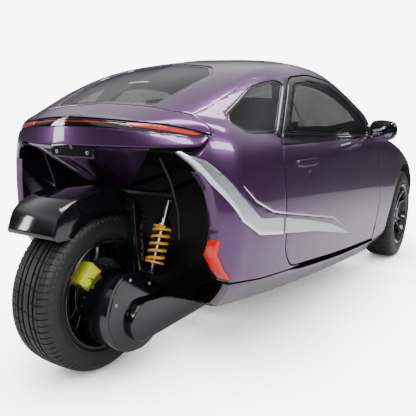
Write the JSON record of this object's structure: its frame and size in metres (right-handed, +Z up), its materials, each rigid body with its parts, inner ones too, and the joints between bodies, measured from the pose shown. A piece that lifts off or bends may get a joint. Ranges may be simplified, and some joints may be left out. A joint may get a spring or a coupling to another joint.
{
  "type": "three wheeled car",
  "caption": "Three wheeled coupe with two steered front wheels, a rear wheel on an exposed swing arm, two hinged doors, a bonnet and a fastback tail.",
  "frame": {"origin": "on the floor, at the middle of the overall length and width", "axes": "+Z up, front towards -Y, the left side of the car towards +X"},
  "size_m": [1.7062, 3.549, 1.3661],
  "materials": {
    "paint": "metallic clear-coated",
    "black_gloss": "high gloss",
    "black_matte": "fine texture",
    "glass": "tinted",
    "lamp_red": "clear red",
    "lamp_clear": "clear",
    "silver_trim": "satin",
    "seat_leather": "stitched",
    "alloy": "gloss black",
    "steel": "black coated",
    "tyre": "matte",
    "spring": "gloss amber",
    "caliper": "gloss lime",
    "battery": "matte"
  },
  "bodies": {
    "body": {"floor_pan": "black_matte", "battery_pack": "battery", "subframes": "steel", "hinge_posts": "steel", "front_bumper": "paint", "cowl": "black_matte", "fender_left": "paint", "fender_right": "paint", "roof": "paint", "quarter_left": "paint", "quarter_right": "paint", "sills": "paint", "tail_panel": "paint", "light_bar": "black_gloss", "rear_lamps": "lamp_red", "rear_apron": "paint", "plate_bracket": "black_gloss", "wheel_housing": "black_matte", "windscreen": "glass", "rear_windows": "glass", "headlamps": "lamp_clear", "flank_blades": "silver_trim", "seats": "seat_leather", "dashboard": "black_matte", "steering_wheel": "black_matte", "wishbones": "steel", "dampers": "spring", "swing_arm": "black_gloss", "arm_covers": "black_gloss", "mudguard": "black_gloss", "rear_caliper": "caliper"},
    "bonnet": {"bonnet": "paint"},
    "door_left": {"door_left": "paint", "door_glass_left": "glass", "mirror_left": "black_gloss"},
    "door_right": {"door_right": "paint", "door_glass_right": "glass", "mirror_right": "black_gloss"},
    "steer_left": {"knuckle_left": "steel"},
    "steer_right": {"knuckle_right": "steel"},
    "wheel_front_left": {"rim_front_left": "alloy", "tyre_front_left": "tyre"},
    "wheel_front_right": {"rim_front_right": "alloy", "tyre_front_right": "tyre"},
    "wheel_rear": {"rim_rear": "alloy", "tyre_rear": "tyre"}
  },
  "joints": [
    {"name": "door_left_hinge", "type": "hinge", "parent": "body", "child": "door_left", "pos_m": [0.69, -0.3015, 0.6], "axis": [0, 0, -1], "range_deg": [0, 62]},
    {"name": "door_right_hinge", "type": "hinge", "parent": "body", "child": "door_right", "pos_m": [-0.69, -0.3015, 0.6], "axis": [0, 0, 1], "range_deg": [0, 62]},
    {"name": "bonnet_hinge", "type": "hinge", "parent": "body", "child": "bonnet", "pos_m": [0, -0.8245, 0.902], "axis": [-1, 0, 0], "range_deg": [0, 55]},
    {"name": "steering_left", "type": "hinge", "parent": "body", "child": "steer_left", "pos_m": [0.559, -1.0945, 0.334], "axis": [0, 0, 1], "range_deg": [-30, 30]},
    {"name": "steering_right", "type": "hinge", "parent": "body", "child": "steer_right", "pos_m": [-0.559, -1.0945, 0.334], "axis": [0, 0, 1], "range_deg": [-30, 30]},
    {"name": "front_left_wheel_spin", "type": "hinge", "parent": "steer_left", "child": "wheel_front_left", "pos_m": [0.633, -1.0945, 0.334], "axis": [1, 0, 0], "continuous": true},
    {"name": "front_right_wheel_spin", "type": "hinge", "parent": "steer_right", "child": "wheel_front_right", "pos_m": [-0.633, -1.0945, 0.334], "axis": [1, 0, 0], "continuous": true},
    {"name": "rear_wheel_spin", "type": "hinge", "parent": "body", "child": "wheel_rear", "pos_m": [0, 1.4405, 0.334], "axis": [1, 0, 0], "continuous": true}
  ],
  "couplings": [
    {"joint": "steering_right", "follows": "steering_left", "ratio": 1}
  ]
}
